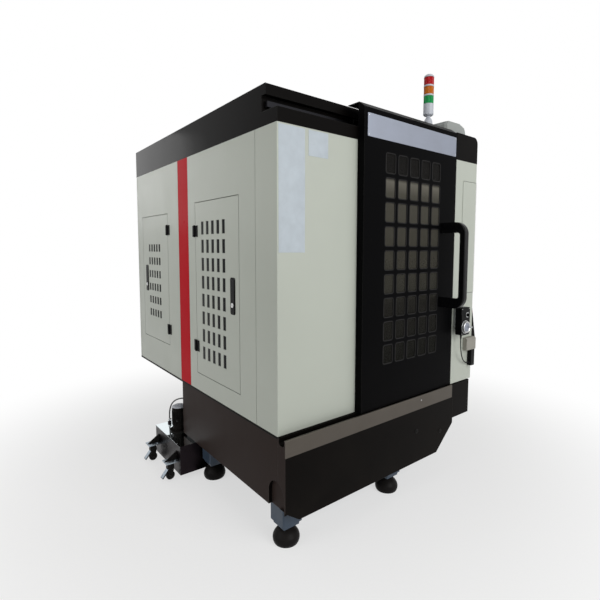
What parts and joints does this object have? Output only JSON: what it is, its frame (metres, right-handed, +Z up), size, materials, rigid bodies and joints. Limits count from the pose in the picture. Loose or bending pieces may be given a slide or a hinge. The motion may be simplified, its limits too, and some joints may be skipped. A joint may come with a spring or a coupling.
{
  "type": "cnc machining center",
  "caption": "Compact vertical machining center: cabinet on levelling feet with a sliding windowed door, spindle head, cross table, disc tool changer, side console and coolant tank.",
  "frame": {"origin": "middle of the footprint's bounding box, on the floor", "axes": "+X to the right along the front, +Y to the back, +Z up"},
  "size_m": [2.0278, 2.051, 2.393],
  "materials": {
    "black_cable": "matt jacket",
    "black_enamel": "fine textured powder coat",
    "black_plastic": "moulded",
    "black_zinc": "black zinc plated, satin",
    "brushed_aluminium": "brushed, bare",
    "brushed_steel": "brushed",
    "chromed_zinc": "satin chrome",
    "clear_hose": "semi-clear",
    "coloured_lens": "green, amber and red tiers",
    "cream_enamel": "satin",
    "green_plastic": "moulded",
    "grey_cast_iron": "painted, satin",
    "grey_plastic": "moulded",
    "ground_steel": "ground",
    "liner_sheet": "satin",
    "machined_iron": "machined",
    "pale_plastic": "moulded",
    "red_enamel": "fine textured powder coat",
    "red_plastic": "moulded",
    "safety_glass": "clear, slightly smoky",
    "screen_glass": "dark, blank",
    "stainless_sheet": "mill finish",
    "white_enamel": "fine textured powder coat",
    "zinc_plate": "galvanised"
  },
  "bodies": {
    "machine_frame": {"bed": "grey_cast_iron", "levelling_feet": "black_zinc", "base_tray": "black_enamel", "base_skirts": "black_enamel", "door_sill": "brushed_steel", "left_corner_panel": "white_enamel", "right_front_panel": "white_enamel", "side_panels": "white_enamel", "side_stripes": "red_enamel", "top_rim": "black_enamel", "front_cap": "black_enamel", "door_rail": "ground_steel", "rear_wall": "white_enamel", "chamber_liner": "liner_sheet", "electrical_panel": "zinc_plate", "hinges": "black_zinc", "column": "grey_cast_iron", "fixed_guides": "ground_steel", "axis_motors": "black_enamel", "magazine_beam": "grey_cast_iron", "tower_base": "pale_plastic", "tower_lenses": "coloured_lens", "roof_cowl": "grey_plastic", "console_bracket": "cream_enamel", "console_box": "black_enamel", "console_screen": "screen_glass", "pendant_body": "black_plastic", "pendant_hanger": "brushed_steel", "pendant_cord": "black_cable", "coolant_tank": "stainless_sheet", "tank_casters": "black_zinc", "coolant_pump": "black_enamel", "coolant_hose": "clear_hose"},
    "door": {"door_frame": "black_enamel", "door_glazing": "safety_glass", "nameplate": "brushed_aluminium", "door_handle": "black_plastic"},
    "front_vent": {"front_vent_door": "white_enamel"},
    "rear_vent": {"rear_vent_door": "white_enamel"},
    "front_latch": {"front_vent_latch": "black_plastic"},
    "rear_latch": {"rear_vent_latch": "black_plastic"},
    "rear_door": {"cabinet_door": "white_enamel"},
    "isolator": {"main_switch": "red_plastic"},
    "cross_slide": {"saddle": "grey_cast_iron", "x_motor": "black_enamel"},
    "work_table": {"table": "machined_iron"},
    "head": {"spindle_head": "grey_cast_iron", "spindle_motor": "black_enamel"},
    "spindle_rotor": {"spindle": "ground_steel", "tool_holder": "ground_steel"},
    "screw_x": {"x_screw": "ground_steel"},
    "screw_y": {"y_screw": "ground_steel"},
    "screw_z": {"z_screw": "ground_steel"},
    "changer_slide": {"magazine_slide": "machined_iron"},
    "changer_disc": {"tool_disc": "machined_iron"},
    "emergency_stop": {"stop_button": "red_plastic"},
    "cycle_start": {"start_button": "green_plastic"},
    "feed_override": {"override_knob": "black_plastic"},
    "pulse_wheel": {"handwheel": "chromed_zinc"},
    "axis_selector": {"axis_dial": "black_plastic"}
  },
  "joints": [
    {"name": "door_slide", "type": "slide", "parent": "machine_frame", "child": "door", "axis": [1, 0, 0], "range_m": [-0.455, 0]},
    {"name": "front_vent_hinge", "type": "hinge", "parent": "machine_frame", "child": "front_vent", "pos_m": [-0.84213, -0.01278, 0.649], "axis": [0, 0, -1], "range_deg": [0, 95]},
    {"name": "rear_vent_hinge", "type": "hinge", "parent": "machine_frame", "child": "rear_vent", "pos_m": [-0.84213, 0.40422, 0.732], "axis": [0, 0, 1], "range_deg": [0, 95]},
    {"name": "front_latch_lift", "type": "hinge", "parent": "front_vent", "child": "front_latch", "pos_m": [-0.83213, -0.45778, 1.2025], "axis": [0, 1, 0], "range_deg": [0, 60]},
    {"name": "rear_latch_lift", "type": "hinge", "parent": "rear_vent", "child": "rear_latch", "pos_m": [-0.83213, 0.79122, 1.227], "axis": [0, 1, 0], "range_deg": [0, 60]},
    {"name": "rear_door_hinge", "type": "hinge", "parent": "machine_frame", "child": "rear_door", "pos_m": [-0.53612, 1.00622, 0.653], "axis": [0, 0, 1], "range_deg": [0, 110]},
    {"name": "isolator_turn", "type": "hinge", "parent": "rear_door", "child": "isolator", "pos_m": [0.18887, 1.00022, 1.452], "axis": [0, 1, 0], "range_deg": [0, 90]},
    {"name": "y_axis", "type": "slide", "parent": "machine_frame", "child": "cross_slide", "axis": [0, 1, 0], "range_m": [-0.115, 0.115]},
    {"name": "x_axis", "type": "slide", "parent": "cross_slide", "child": "work_table", "axis": [1, 0, 0], "range_m": [-0.2, 0.2]},
    {"name": "z_axis", "type": "slide", "parent": "machine_frame", "child": "head", "axis": [0, 0, 1], "range_m": [-0.4, 0]},
    {"name": "spindle_turn", "type": "hinge", "parent": "head", "child": "spindle_rotor", "pos_m": [-0.11363, -0.42278, 1.292], "axis": [0, 0, 1], "continuous": true},
    {"name": "screw_y_turn", "type": "hinge", "parent": "machine_frame", "child": "screw_y", "pos_m": [-0.11363, -0.59778, 0.567], "axis": [0, 1, 0], "range_deg": [-4400, 4400]},
    {"name": "screw_x_turn", "type": "hinge", "parent": "cross_slide", "child": "screw_x", "pos_m": [-0.11363, -0.42278, 0.686], "axis": [1, 0, 0], "range_deg": [-7500, 7500]},
    {"name": "screw_z_turn", "type": "hinge", "parent": "machine_frame", "child": "screw_z", "pos_m": [-0.11363, -0.12278, 0.872], "axis": [0, 0, 1], "range_deg": [-200, 14800]},
    {"name": "changer_feed", "type": "slide", "parent": "machine_frame", "child": "changer_slide", "axis": [1, 0, 0], "range_m": [0, 0.196]},
    {"name": "changer_index", "type": "hinge", "parent": "changer_slide", "child": "changer_disc", "pos_m": [-0.49962, -0.42278, 1.18], "axis": [0, 0, 1], "continuous": true},
    {"name": "emergency_stop_press", "type": "slide", "parent": "machine_frame", "child": "emergency_stop", "axis": [0, 0.9911, -0.133], "range_m": [0, 0.006]},
    {"name": "cycle_start_press", "type": "slide", "parent": "machine_frame", "child": "cycle_start", "axis": [0, 0.9911, -0.133], "range_m": [0, 0.003], "stiffness_N_per_m": 300, "springref_m": -0.003},
    {"name": "feed_override_turn", "type": "hinge", "parent": "machine_frame", "child": "feed_override", "pos_m": [0.81388, -0.63491, 0.917], "axis": [0, -0.9911, 0.133], "range_deg": [-140, 140]},
    {"name": "pulse_wheel_turn", "type": "hinge", "parent": "machine_frame", "child": "pulse_wheel", "pos_m": [0.43188, -0.92778, 0.902], "axis": [0, 1, 0], "continuous": true},
    {"name": "axis_selector_turn", "type": "hinge", "parent": "machine_frame", "child": "axis_selector", "pos_m": [0.45088, -0.92778, 0.972], "axis": [0, 1, 0], "range_deg": [-60, 60]}
  ],
  "couplings": [
    {"joint": "screw_y_turn", "follows": "y_axis", "rad_per_m": -628.32},
    {"joint": "screw_x_turn", "follows": "x_axis", "rad_per_m": -628.32},
    {"joint": "screw_z_turn", "follows": "z_axis", "rad_per_m": -628.32}
  ]
}
